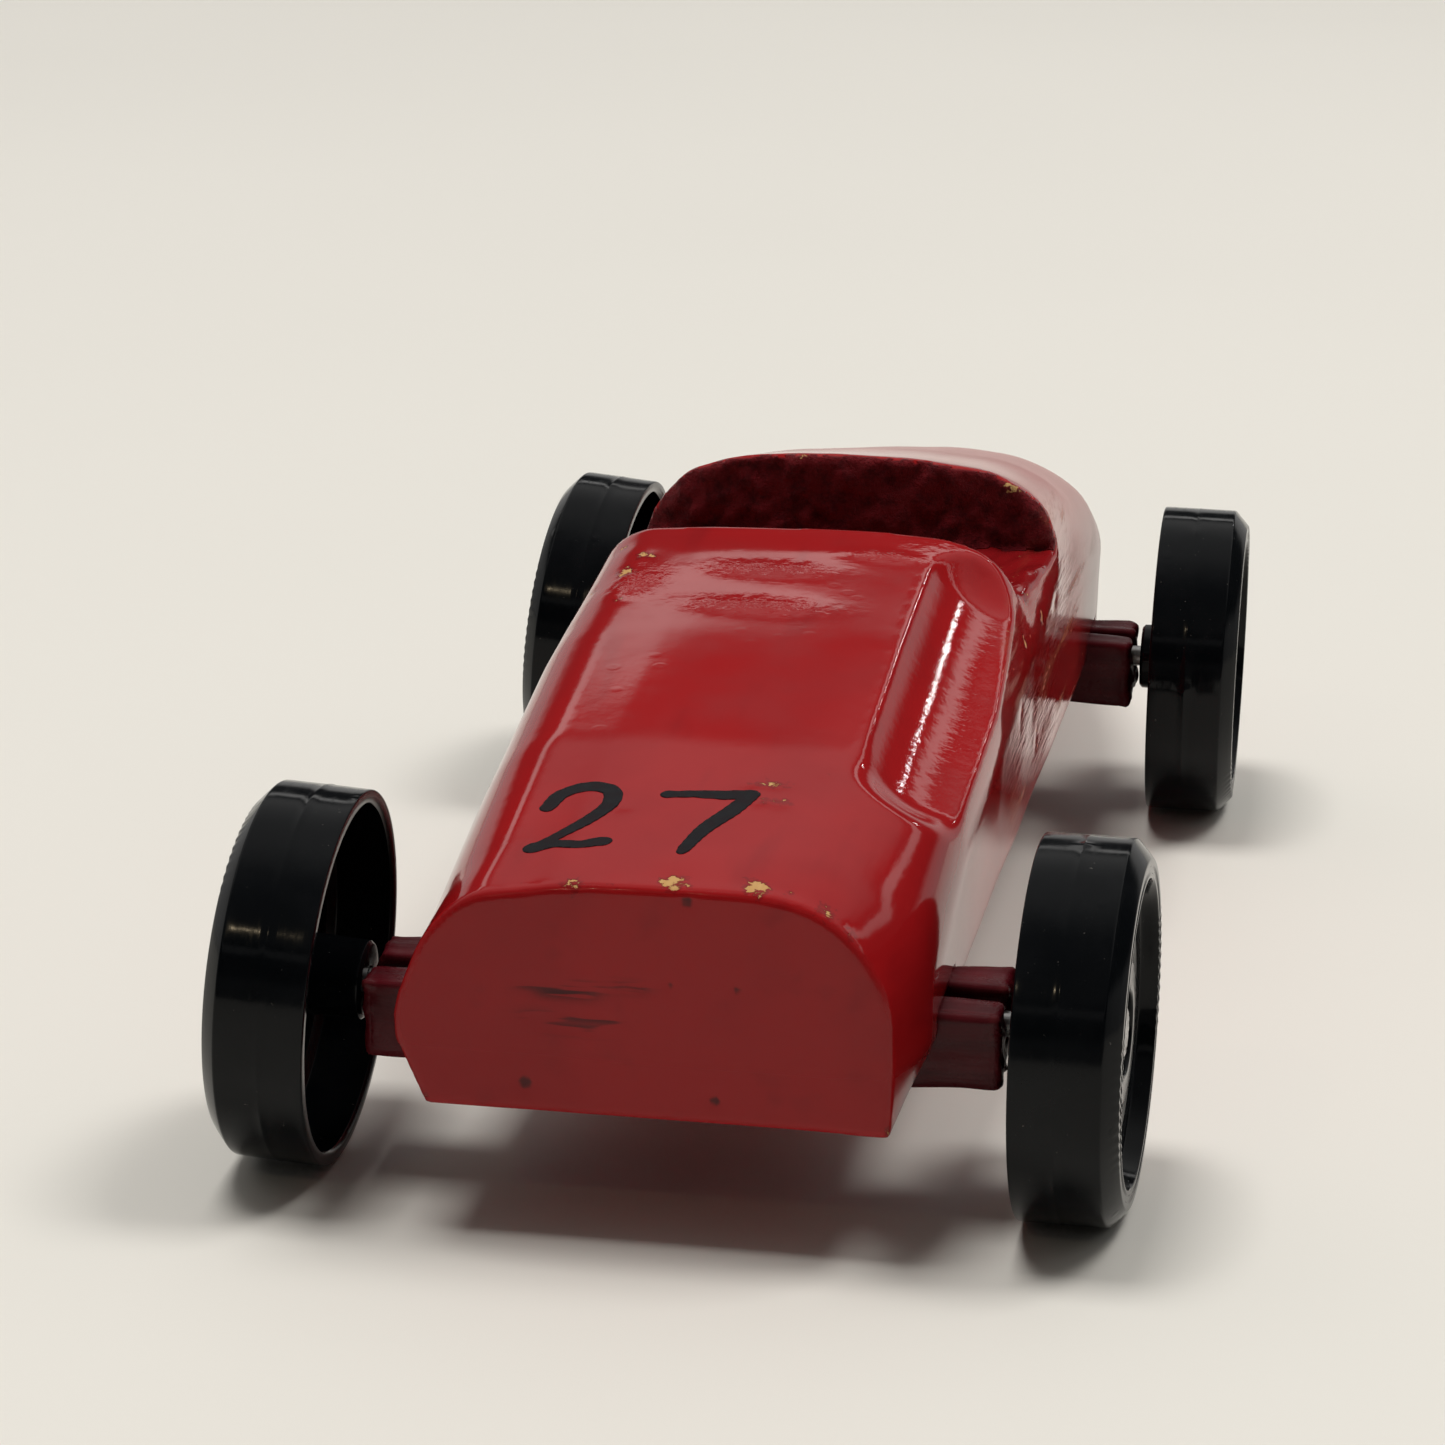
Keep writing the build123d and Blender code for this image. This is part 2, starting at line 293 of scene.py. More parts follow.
# the deck lifts a little more towards the rear edge of the hood, then eases off: the worn lip
lift = np.interp(SJ, [32, 50.0, 57.0], [0, 0.25, 0.0], right=0)
lift[SJ > 57.5] = 0
TAB[:, 5:10, 1] += lift[:, None] * np.array([0.7, 1, 1, 1, 0.8])
ker = np.exp(-0.5 * (np.arange(-24, 25) * DS / 0.9) ** 2); ker /= ker.sum()
pad = np.concatenate([TAB[:1].repeat(24, 0), TAB, TAB[-1:].repeat(24, 0)])
TAB = sum(pad[i:i + len(TAB)] * w for i, w in enumerate(ker))


def soften(P, cut):
    """Corner cutting limited to cut mm."""
    nxt = np.roll(P, -1, axis=1)
    d = nxt - P
    ln = np.linalg.norm(d, axis=2, keepdims=True)
    t0 = np.minimum(0.25, cut[None, :, None] / np.maximum(ln, 1e-6))
    t1 = np.minimum(0.25, np.roll(cut, -1)[None, :, None] / np.maximum(ln, 1e-6))
    out = np.empty((P.shape[0], P.shape[1] * 2, 2))
    out[:, 0::2] = P + d * t0
    out[:, 1::2] = nxt - d * t1
    return out


# the sawn lower corners and the long deck edge stay crisper than the sanded shoulders
CUT = np.array([.25, .30, .8, 1.2, 1.0, .6, 1.2, 1.3, 1.2, 1.0, 1.2, 1.2, .9, .30, .25])
PT = soften(soften(TAB, CUT), np.repeat(CUT, 2) * 0.5).astype(np.float32)
_d = np.roll(PT, -1, axis=1) - PT
_l = np.maximum(np.linalg.norm(_d, axis=2, keepdims=True), 1e-6)
PN = np.concatenate([-_d[..., 1:2], _d[..., 0:1]], -1) / _l     # outward normals
PC = (PN * PT).sum(-1)

FLA, FLB, FLR = np.array([20.4, 9.5, 38.1]), np.array([20.4, 48.5, 43.6]), 10.0
n_body = waves(11, 14, 34.0, 0.055)
n_tool = waves(12, 16, 7.0, 0.022, (1, 2.6, 1))
n_seat = waves(13, 30, 1.9, 0.17)
n_seat2 = waves(14, 14, 5.5, 0.10)
n_floor = waves(15, 20, 2.6, 0.07, (1, 1.6, 1))


def section_field(p):
    x, s, z = p[:, 0], p[:, 1], p[:, 2]
    t = np.clip((s - SJ[0]) / DS, 0, len(SJ) - 1.001)
    i = t.astype(int)
    w = (t - i).astype(np.float32)[:, None]
    xx, zz = x.astype(np.float32)[:, None], z.astype(np.float32)[:, None]
    a = (PN[i, :, 0] * xx + PN[i, :, 1] * zz - PC[i]).max(1)
    b = (PN[i + 1, :, 0] * xx + PN[i + 1, :, 1] * zz - PC[i + 1]).max(1)
    return (a * (1 - w[:, 0]) + b * w[:, 0]).astype(float)


def flute_field(p):
    d = FLB - FLA
    t = np.clip(((p - FLA) @ d) / (d @ d), 0, 1)
    return np.linalg.norm(p - FLA - t[:, None] * d, axis=1) - FLR


STRUT = {
    "front": dict(c=(0.0, 0.0, 14.1), L=50.2, roll=5.5, tilt=-0.8),
    "rear": dict(c=(0.5, 111.0, 14.2), L=48.6, roll=0.0, tilt=0.0),
}
SD, SHH = 9.525, 6.35


def strut_rot(e):
    r, t = math.radians(STRUT[e]["roll"]), math.radians(STRUT[e]["tilt"])
    Rx = np.array([[1, 0, 0], [0, math.cos(r), -math.sin(r)], [0, math.sin(r), math.cos(r)]])
    Ry = np.array([[math.cos(t), 0, math.sin(t)], [0, 1, 0], [-math.sin(t), 0, math.cos(t)]])
    return Ry @ Rx


def to_strut(p, e):
    return (p - np.array(STRUT[e]["c"])) @ strut_rot(e)


def body_field(p):
    x, s, z = p[:, 0], p[:, 1], p[:, 2]
    f = section_field(p)
    f = smax(f, -(s + 14.3) - 0.0006 * x * x, 0.6)
    f = smax(f, s - 163.5, 1.6)
    u = np.clip((15.0 - s) / 9.0, 0, 1)
    f = smax(f, -flute_field(p), 0.5 + 0.9 * u * u * (3 - 2 * u))
    # cockpit notch
    rough = n_seat(p * np.array([1, 0, 1])) + n_seat2(p * np.array([1, 0, 1]))
    nd = smax(smax(57.0 - s, s - 74.0 - rough, 0.5), 34.4 - z + n_floor(p), 0.8)
    f = smax(f, -nd, 0.7)
    for e in STRUT:
        q = to_strut(p, e)
        nd = np.maximum(np.abs(q[:, 1]) - SD / 2 - 0.02, q[:, 2] - SHH / 2 - 0.02)
        f = smax(f, -nd, 0.35)
    return f


def body_noise(p):
    # the flanks and the tail were shaped by hand, the deck was planed flatter
    rough = 0.30 + 0.70 * np.clip((np.abs(p[:, 0]) - 15.0) / 3.5, 0, 1)
    rough = np.maximum(rough, np.clip((p[:, 1] - 70) / 10, 0, 1))
    return n_body(p) * (0.5 + 0.5 * rough) + n_tool(p) * rough


V, Q, N, curv = field_mesh(body_field, (-22.4, -15.9, 9.4), (22.9, 165.0, 44.0), (0.45, 0.62, 0.45),
                           noise=body_noise, relax=2)
x, s, z = V.T
seat = ((np.abs(s - 74.0) < 0.9) & (z > 34.0) & (N[:, 1] < -0.35)).astype(float)
floorm = ((np.abs(z - 34.4) < 0.5) & (s > 56.5) & (s < 74.6) & (N[:, 2] > 0.5)).astype(float)
front_wall = ((np.abs(s - 57.0) < 0.7) & (z > 34.0) & (N[:, 1] > 0.35)).astype(float)
under = (z < 10.9).astype(float)
flute_m = np.clip(1.0 - np.abs(flute_field(np.stack([x, s, z], 1))) / 0.45, 0, 1)


def spots(lst):
    out = np.zeros(len(V))
    for (px, py, pz, rad, amt) in lst:
        d2 = (x + SX - px) ** 2 + (s + SS - py) ** 2 + (z - pz) ** 2
        out = np.maximum(out, amt * np.exp(-d2 / (rad * rad)))
    return out


chip = spots([
    (-10.0, -87.6, 28.3, 1.2, .7), (-6.2, -88.0, 28.6, 1.5, 1.0), (-3.3, -88.0, 28.8, 1.0, .7), (1.4, -87.4, 29.0, 1.9, 1.1),
    (7.6, -87.2, 29.1, 1.9, 1.1), (10.0, -87.2, 28.6, 1.1, .8), (13.0, -87.6, 27.5, 1.5, 1.0), (14.9, -87.6, 26.3, 1.3, .9),
    (16.6, -87.9, 23.6, 1.0, .7), (6.3, -70.5, 32.1, 1.7, .95), (5.9, -73.4, 31.6, 1.2, .9), (7.3, -73.6, 31.5, 1.3, .95),
    (4.6, -70.7, 32.0, 1.1, .8), (9.9, -68.0, 32.3, .8, .7), (-4.7, -75.9, 31.1, .8, .7),
    (-14.0, -28.6, 37.8, 1.9, 1.05), (-12.8, -25.0, 38.3, 1.6, 1.0), (-13.1, -35.4, 36.9, 1.2, .8), (-16.6, -30.2, 36.2, 1.4, .9),
    (-15.8, -21.0, 37.9, 1.4, .9), (-17.6, -38.0, 34.5, 1.2, .8), (20.3, -13.2, 20.2, 1.0, .8), (20.4, -27.5, 26.6, 1.3, .8),
    (20.5, -2.0, 30.1, 1.8, .9), (20.4, -11.5, 31.0, 1.8, .9), (20.0, -21.0, 31.4, 1.4, .9), (20.4, -7.0, 25.7, 1.4, .8),
    (19.3, -15.3, 33.9, 1.4, .9), (-20.0, 12.0, 20.0, 1.6, .8), (12.6, 40.0, 34.4, 1.5, .8), (-9.0, 62.0, 28.6, 1.5, .8),
    (-12.6, 88.6, 13.0, 1.3, .9), (8.6, 89.2, 18.9, 1.3, .9), (-3.0, -0.4, 42.1, 1.5, .8), (17.0, -0.2, 40.0, 1.6, .9),
    (-16.4, -88.1, 25.2, 1.1, .6), (-18.6, -87.9, 14.5, 1.1, .6), (-17.4, -87.5, 10.7, 1.5, .8), (17.6, -87.6, 11.0, 1.3, .7),
])
dent = spots([(-9.7, -88.4, 12.7, .75, 1), (4.9, -88.4, 12.3, .6, 1), (6.5, -88.4, 21.2, .55, .9), (1.4, -88.4, 21.2, .55, .8),
              (2.6, -88.3, 27.9, .7, 1), (-0.6, -88.4, 20.9, .5, .7), (12.5, -88.4, 17.5, .6, .5), (-15, -88.4, 20.5, .6, .5)])
drip = np.zeros(len(V))
for (px, py, pz, rx, ry) in [(-1.5, -28.0, 38.4, 4.6, 1.6), (-1.2, -36.2, 37.2, 5.0, 1.7), (12, -20, 36.2, 3, 2.2),
                             (-12.5, -31, 37.4, 2.2, 3.0), (8, -23.5, 38.6, 3.0, 1.2), (-8, 30, 37.5, 3.5, 4), (7, 55, 32.5, 3.5, 5)]:
    drip = np.maximum(drip, np.exp(-(((x + SX - px) / rx) ** 2 + ((s + SS - py) / ry) ** 2 + ((z - pz) / 2.2) ** 2)))
wear = np.exp(-((x - 20.3) / 1.6) ** 2) * np.clip((s - 34) / 16, 0, 1) * np.clip((112 - s) / 22, 0, 1) * np.clip((z - 12) / 6, 0, 1)
wear += 0.6 * np.exp(-((x + 20.2) / 1.2) ** 2) * np.clip((s - 60) / 20, 0, 1) * np.clip((120 - s) / 20, 0, 1)
scr = np.zeros(len(V))
face = np.clip((-13.4 - s) / 0.5, 0, 1)
for (z0, xa, xb) in [(20.6, -10.8, -3.6), (20.9, -3.2, -0.7), (18.1, -10.0, -2.0), (17.3, -8.5, -3.5), (20.0, -9.0, -4.5)]:
    scr = np.maximum(scr, face * np.exp(-((z - z0) / 0.42) ** 2) * (1 / (1 + np.exp(-(x - xa) / 0.4))) * (1 / (1 + np.exp((x - xb) / 0.4))))

# the dents and scratches are also pressed into the surface
V = V - N * (0.16 * dent + 0.10 * scr + 0.05 * chip)[:, None] + N * (drip * 0.05 * (1 + np.sin(x * 3.1) * np.sin(s * 2.6)))[:, None]
body_ob = make_object("body_block", V + np.array([SX, SS, 0]), Q, dict(
    rough=np.clip(seat + 0.0, 0, 1), cock=np.clip(floorm + front_wall, 0, 1), curv=curv, chip=chip, dent=dent, scr=scr,
    drip=drip, wear=wear, under=under, flute=flute_m), "chassis")
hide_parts("body")
BODY_V, BODY_N = len(V), N


def body_full(p):
    return body_field(p) + body_noise(p)


def drop(px, ps, z0=36.0):
    """Heights of the deck under points (x, s)."""
    zz = np.full(len(px), float(z0))
    for _ in range(12):
        p = np.stack([px, ps, zz], 1)
        f = body_full(p)
        e = 0.05
        q = p.copy(); q[:, 2] += e
        g = (body_full(q) - f) / e
        zz = zz - np.clip(f / np.maximum(g, 0.3), -2, 2)
    return zz


# ------------------------------------------------------------------ the marker number
def catmull(P, n=14):
    P = np.array(P, float)
    E = np.vstack([2 * P[0] - P[1], P, 2 * P[-1] - P[-2]])
    out = []
    for i in range(1, len(E) - 2):
        for t in np.linspace(0, 1, n, endpoint=False):
            a, b, c, d = E[i - 1], E[i], E[i + 1], E[i + 2]
            out.append(0.5 * ((2 * b) + (-a + c) * t + (2 * a - 5 * b + 4 * c - d) * t * t + (-a + 3 * b - 3 * c + d) * t ** 3))
    out.append(P[-1])
    return np.array(out)


STROKES = [
    catmull([(-10.9, -1.6), (-10.2, 0.5), (-8.3, 1.6), (-6.4, 0.9), (-6.1, -1.4), (-7.4, -4.2), (-9.3, -6.6), (-10.7, -8.0)]),
    catmull([(-10.7, -8.0), (-9.2, -7.6), (-7.2, -7.9), (-5.3, -7.4)]),
    catmull([(-1.9, 0.7), (0.4, 1.0), (2.6, 1.1), (4.6, 1.5)]),
    catmull([(4.6, 1.5), (3.5, -1.4), (1.9, -4.8), (0.9, -8.4)]),
]


def ink_distance(px, ps):
    best = np.full(len(px), 1e9)
    for k, S in enumerate(STROKES):
        for j in range(len(S) - 1):
            a, b = S[j], S[j + 1]
            d = b - a
            t = np.clip(((px - a[0]) * d[0] + (ps - a[1]) * d[1]) / (d @ d), 0, 1)
            u = (j + t) / len(S)
            w = 0.66 + 0.11 * np.sin(5 * u + 2 * k) - 0.16 * (u > 0.93) * (u - 0.93) / 0.07
            r = np.hypot(px - a[0] - t * d[0], ps - a[1] - t * d[1]) - w
            best = np.minimum(best, r)
    return best + 0.04 * np.sin(px * 4.1 + ps * 2.3) * np.sin(ps * 3.7)


g = 0.14
gx, gs = np.arange(-13.5, 6.6, g), np.arange(-10.6, 3.2, g)
XX, SSg = np.meshgrid(gx, gs, indexing="ij")
px, ps = XX.ravel(), SSg.ravel()
dd = ink_distance(px, ps)
for _ in range(2):       # pull the outer grid points onto the outline
    e = 0.02
    nx_ = (ink_distance(px + e, ps) - ink_distance(px - e, ps)) / (2 * e)
    ns_ = (ink_distance(px, ps + e) - ink_distance(px, ps - e)) / (2 * e)
    move = (np.abs(dd) < 0.75 * g) * dd
    px, ps = px - nx_ * move, ps - ns_ * move
    dd = ink_distance(px, ps)
inside = (dd < 0.03).reshape(XX.shape)
cell = inside[:-1, :-1] & inside[1:, :-1] & inside[1:, 1:] & inside[:-1, 1:]
idx = np.arange(len(px)).reshape(XX.shape)
quads = np.stack([idx[:-1, :-1][cell], idx[1:, :-1][cell], idx[1:, 1:][cell], idx[:-1, 1:][cell]], 1)
used = np.unique(quads)
re = -np.ones(len(px), int); re[used] = np.arange(len(used))
quads = re[quads]
ux, us = px[used], ps[used]
uz = drop(ux, us, 33.0)
top = np.stack([ux, us, uz + 0.035], 1)
bot = np.stack([ux, us, uz - 0.12], 1)
nU = len(ux)
ed = {}
for q in quads:
    for a, b in zip(q, np.roll(q, -1)):
        ed[(a, b)] = ed.get((a, b), 0) + 1
side_q = [(b, a, a + nU, b + nU) for (a, b) in ed if (b, a) not in ed]
INK_FACES = np.concatenate([quads, quads[:, ::-1] + nU, np.array(side_q)])
INKV = np.concatenate([top, bot]) + np.array([SX, SS, 0])
ink_ob = make_object("hood_number", INKV, INK_FACES, None, "chassis")


# ------------------------------------------------------------------ wheels and nails data
WHEELS = {
    "front_left": ((-26.894, -74.17, 14.9751), (-0.998342, 0.0, 0.057564)),
    "front_right": ((27.306, -74.17, 15.0), (0.999657, -0.026177, 0.0)),
    "rear_left": ((-25.544, 36.83, 14.9452), (-0.995734, 0.034899, 0.085417)),
    "rear_right": ((27.256, 36.83, 15.0725), (0.999647, 0.024432, -0.010472)),
}


def wheel_basis(key):
    o, d = (np.array(v, float) for v in WHEELS[key])
    d /= np.linalg.norm(d)
    y = np.cross((0, 0, 1), d); y /= np.linalg.norm(y)
    zz = np.cross(d, y)
    return o, np.stack([d, y, zz])


# ------------------------------------------------------------------ struts
def nail_distance(p_model, key):
    o, B = wheel_basis(key)
    q = (p_model - o) @ B.T
    r = np.hypot(q[:, 1], q[:, 2])
    return np.maximum(r - 1.03, np.maximum(q[:, 0] - 6.25, -q[:, 0] - 24.75))


for e in STRUT:
    L = STRUT[e]["L"]
    R = strut_rot(e)
    c = np.array(STRUT[e]["c"]) + np.array([SX, SS, 0])
    keys = [e + "_left", e + "_right"]
    ng = waves(31 + len(e), 18, 2.4, 0.045, (5, 1, 1))
    nb = waves(41 + len(e), 10, 9.0, 0.07)
    ne = waves(51 + len(e), 18, 1.6, 0.06)

    def strut_field(p, L=L, R=R, c=c, keys=keys):
        b = smax(np.abs(p[:, 0]) - L / 2, smax(np.abs(p[:, 1]) - SD / 2, np.abs(p[:, 2]) - SHH / 2, 0.55), 0.6)
        k = np.maximum(np.abs(p[:, 1]) - 1.0, SHH / 2 - 3.5 - p[:, 2])
        b = smax(b, -k, 0.4)
        m = p @ R.T + c
        for kk in keys:
            b = np.maximum(b, -nail_distance(m, kk))
        return b

    def strut_noise(p, L=L, ng=ng, nb=nb, ne=ne):
        end = np.clip((np.abs(p[:, 0]) - L / 2 + 1.2) / 1.0, 0, 1)
        return ng(p) + nb(p) + ne(p) * end

    h = 0.34
    V, Q, N, curv = field_mesh(strut_field, (-L / 2 - 0.8, -SD / 2 - 0.8, -SHH / 2 - 0.8),
                               (L / 2 + 0.8, SD / 2 + 0.8, SHH / 2 + 0.8), (h, h, h), noise=strut_noise, relax=3)
    W = V @ R.T + c
    endm = np.clip((np.abs(V[:, 0]) - L / 2 + 0.8) / 0.5, 0, 1)
    ob = make_object("axle_strut_" + e, W, Q, dict(curv=curv, endgrain=endm), "chassis")
    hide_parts("strut_" + e)


# ------------------------------------------------------------------ turned pieces
def fillet_profile(P, seg=5):
    """P: (a, r, fillet). Open polyline with rounded corners."""
    out = [np.array(P[0][:2], float)]
    for i in range(1, len(P) - 1):
        a, b, c = (np.array(P[j][:2], float) for j in (i - 1, i, i + 1))
        rad = P[i][2]
        u, v = a - b, c - b
        lu, lv = np.linalg.norm(u), np.linalg.norm(v)
        u, v = u / lu, v / lv
        ca = float(np.clip(u @ v, -1, 1))
        ang = math.acos(ca)
        if rad <= 0 or ang > math.radians(176):
            out.append(b); continue
        t = min(rad / math.tan(ang / 2), 0.45 * lu, 0.45 * lv)
        for k in range(seg + 1):
            w = k / seg
            out.append((1 - w) ** 2 * (b + u * t) + 2 * w * (1 - w) * b + w * w * (b + v * t))
    out.append(np.array(P[-1][:2], float))
    return np.array(out)


def densify(P, step):
    out = [P[0]]
    for a, b in zip(P[:-1], P[1:]):
        n = max(1, int(math.ceil(np.linalg.norm(b - a) / step)))
        for k in range(1, n + 1):
            out.append(a + (b - a) * k / n)
    return np.array(out)


def revolve(prof, nseg, closed, shift=None):
    """prof (a, r) -> vertices in (a, y, z) and quads; closed profiles make a ring."""
    th = np.arange(nseg) * 2 * np.pi / nseg
    m = len(prof)
    A = prof[:, 0][:, None].repeat(nseg, 1)
    Rr = prof[:, 1][:, None].repeat(nseg, 1)
    T = th[None, :].repeat(m, 0)
    if shift is not None:
        A, Rr = shift(A, Rr, T)
    V = np.stack([A, Rr * np.cos(T), Rr * np.sin(T)], -1).reshape(-1, 3)
    i = np.arange(m if closed else m - 1)
    j = np.arange(nseg)
    I, J = np.meshgrid(i, j, indexing="ij")
    I2, J2 = (I + 1) % m, (J + 1) % nseg
    Q = np.stack([I * nseg + J, I2 * nseg + J, I2 * nseg + J2, I * nseg + J2], -1).reshape(-1, 4)
    return V, Q


Rw, w_, ri, HR, HB = 15.0, 8.3, 13.85, 2.3, 3.15
WHEEL_PROFILE = [
    (0.0, 14.55, .0), (0.0, Rw, .38), (3.42, Rw, .0), (3.52, Rw + 0.035, .0), (3.62, Rw, .0), (7.0, Rw - 0.02, .35), (7.85, Rw - .95, .35), (w_, Rw - 1.5, .25),
    (w_, Rw - 2.0, .1), (w_ - .1, Rw - 2.15, .08), (w_ - .1, Rw - 2.55, .08), (w_, Rw - 2.7, .08), (w_, Rw - 3.0, .2),
    (w_ - 1.5, Rw - 3.3, .30), (w_ - 1.54, 9.4, .3), (w_ - 1.42, 9.1, .12), (w_ - 1.42, 8.7, .12), (w_ - 1.54, 8.4, .3),
    (w_ - 1.5, 6.0, .3), (w_ - 1.0, 5.4, .25), (w_ - 1.0, HR + 1.0, .22), (w_ - 2.3, HR + .9, .12),
    (w_ - 2.3, 1.12, .08), (w_ - 2.7, 1.06, .0), (-1.3, 1.06, .08), (-1.5, 1.25, .05), (-1.5, HB - .25, .14), (-1.25, HB, .05),
    (w_ - 3.1, HB + .15, .3), (w_ - 2.8, HB + .6, .2), (w_ - 2.8, 8.0, .3), (w_ - 2.92, 8.3, .1), (w_ - 2.92, 8.9, .1), (w_ - 2.8, 9.2, .3),
    (w_ - 2.8, ri - .9, .5), (w_ - 3.5, ri - .1, .3), (0.3, ri, .1), (0.0, ri + .2, .0), (0.0, 14.55, .0),
]


def make_wheel(key, seed):
    prof = fillet_profile(WHEEL_PROFILE, 4)
    prof = densify(prof, 0.75)[:-1]
    rng = np.random.default_rng(seed)
    burr = rng.uniform(0, 2 * np.pi, 3)
    ph = rng.uniform(0, 2 * np.pi)

    def shift(A, R, T):
        # moulding flash on the parting line, and a gate mark
        line = np.exp(-((A - 3.52) / 0.16) ** 2) * (R > Rw - 0.2)
        for k, b in enumerate(burr):
            dT = (T - b + np.pi) % (2 * np.pi) - np.pi
            R = R + line * (0.16 if k == 0 else 0.07) * np.exp(-(dT * Rw / (0.5 + 0.5 * k)) ** 2)
        # very slight out-of-round of a moulded wheel
        R = R + 0.03 * (R / Rw) * np.cos(2 * T + ph)
        # two bands of plain fine ribs on the outer ring face
        ring = np.clip((A - (w_ - 0.25)) / 0.2, 0, 1) * (R > Rw - 3.2) * (R < Rw - 1.3)
        tt = (T + ph) % np.pi
        band = 1 / (1 + np.exp(-(tt - 0.55) / 0.02)) * 1 / (1 + np.exp((tt - 1.35) / 0.02))
        A = A + 0.035 * ring * band * np.clip(1.6 * np.sin(T * 90), -1, 1)
        return A, R

    V, Q = revolve(prof, 360, True, shift)
    o, B = wheel_basis(key)
    W = V @ B + o
    rr = np.hypot(V[:, 1], V[:, 2])
    tang = np.arctan2(V[:, 2], V[:, 1])
    ob = make_object("wheel_moulding_" + key, W, Q[:, ::-1], dict(rad=rr, axial=V[:, 0]), "wheel_" + key)
    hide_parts("wheel_" + key)
    return ob


NAILS = []
for n, key in enumerate(WHEELS):
    ob = make_wheel(key, 70 + n)
    # nail: domed knurled head, shank, cut point
    under_a = 6.25
    P = [(under_a + .98, 0.03, 0), (under_a + .96, 0.8, .0), (under_a + .9, 1.7, .2), (under_a + .74, 2.2, .22), (under_a + .35, 2.3, .1), (under_a + .02, 2.18, .12),
         (under_a, 1.2, .15), (under_a - .25, 1.0, .1), (-23.4, 1.0, .3), (-24.75, 0.12, .0), (-24.76, 0.03, .0)]
    prof = densify(fillet_profile(P, 4), 0.55)

    def shift(A, R, T):
        # knurl on the head, gripping rings pressed into the shank under it
        y, zc = R * np.cos(T), R * np.sin(T)
        head = np.clip((A - (under_a + .6)) / 0.2, 0, 1) * (R < 1.95)
        A = A + 0.035 * head * np.clip(3 * np.sin(y * 7.0) * np.sin(zc * 7.0), -1, 1)
        ring = (A < under_a - 0.5) & (A > under_a - 4.0)
        R = R - 0.03 * ring * (0.5 + 0.5 * np.sin(A * 9.0)) * (np.sin(T * 2) > 0)
        return A, R

    V, Q = revolve(prof, 96, False, shift)
    k = len(V)
    V = np.vstack([V, [[under_a + .985, 0, 0], [-24.77, 0, 0]]])
    m = len(prof)
    j = np.arange(96)
    capA = [(int(k), int(a), int((a + 1) % 96)) for a in j]
    capB = [(int(k + 1), int((m - 1) * 96 + (a + 1) % 96), int((m - 1) * 96 + a)) for a in j]
    o, B = wheel_basis(key)
    faces = [tuple(map(int, q)) for q in Q] + capA + capB
    nail = make_object("axle_nail_" + key, V @ B + o, faces, dict(rad=np.hypot(V[:, 1], V[:, 2]), axial=V[:, 0]), "chassis")
    NAILS.append(nail)
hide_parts("axle_nails")
for nail in NAILS[1:]:
    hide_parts("axle_nails")

# faces must look outwards
import bmesh
for ob in list(bpy.data.objects):
    if ob.type == "MESH" and (ob.name.startswith("wheel_moulding") or ob.name.startswith("axle_nail_") or ob.name == "hood_number"):
        bm = bmesh.new(); bm.from_mesh(ob.data)
        bmesh.ops.recalc_face_normals(bm, faces=bm.faces)
        bm.to_mesh(ob.data); bm.free()


